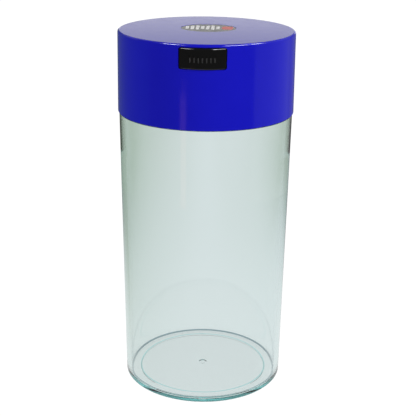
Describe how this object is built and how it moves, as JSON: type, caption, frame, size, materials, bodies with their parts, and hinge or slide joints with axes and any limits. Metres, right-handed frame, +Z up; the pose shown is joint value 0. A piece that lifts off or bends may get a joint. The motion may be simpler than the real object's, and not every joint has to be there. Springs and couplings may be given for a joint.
{
  "type": "vacuum storage canister",
  "caption": "Clear tapered storage canister with a deep push-on cap, a lip seal, and a front button that lifts an air valve.",
  "frame": {"origin": "centre of the foot ring's circle, on the surface the canister stands on", "axes": "+Z up along the canister's axis, -Y to the front, where the push button is, +X to the right seen from the front"},
  "size_m": [0.1214, 0.1229, 0.254],
  "materials": {
    "clear_plastic": "clear, faintly aqua, polished",
    "blue_plastic": "cobalt blue, glossy",
    "label_vinyl": "printed vinyl, satin",
    "white_plastic": "moulded white, satin",
    "black_rubber": "smooth, slightly oiled",
    "black_plastic": "black, glossy",
    "spring_steel": "drawn wire, bright",
    "valve_plastic": "moulded blue, satin",
    "valve_rubber": "translucent silicone, satin",
    "screw_steel": "zinc plated"
  },
  "bodies": {
    "container": {"container": "clear_plastic"},
    "seal_ring": {"lip_seal": "black_rubber"},
    "cap": {"cap_shell": "blue_plastic", "cap_label": "label_vinyl", "seal_carrier": "white_plastic", "valve_guide": "white_plastic", "guide_screws": "screw_steel", "valve_spring": "spring_steel", "button_spring_left": "spring_steel", "button_spring_right": "spring_steel"},
    "button": {"push_button": "black_plastic"},
    "valve": {"valve_stem": "valve_plastic", "valve_disc": "valve_rubber"}
  },
  "joints": [
    {"name": "cap_lift", "type": "slide", "parent": "container", "child": "seal_ring", "axis": [0, 0, 1], "range_m": [0, 0.15]},
    {"name": "cap_twist", "type": "hinge", "parent": "seal_ring", "child": "cap", "pos_m": [0, 0, 0.2], "axis": [0, 0, 1], "continuous": true},
    {"name": "button_press", "type": "slide", "parent": "cap", "child": "button", "axis": [0, 1, 0], "range_m": [0, 0.0045], "stiffness_N_per_m": 600, "springref_m": -0.004, "deforming": ["button_spring_left", "button_spring_right"]},
    {"name": "valve_lift", "type": "slide", "parent": "cap", "child": "valve", "axis": [0, 0, 1], "range_m": [0, 0.0032], "deforming": ["valve_spring"]}
  ],
  "couplings": [
    {"joint": "valve_lift", "follows": "button_press", "ratio": 0.70021}
  ]
}
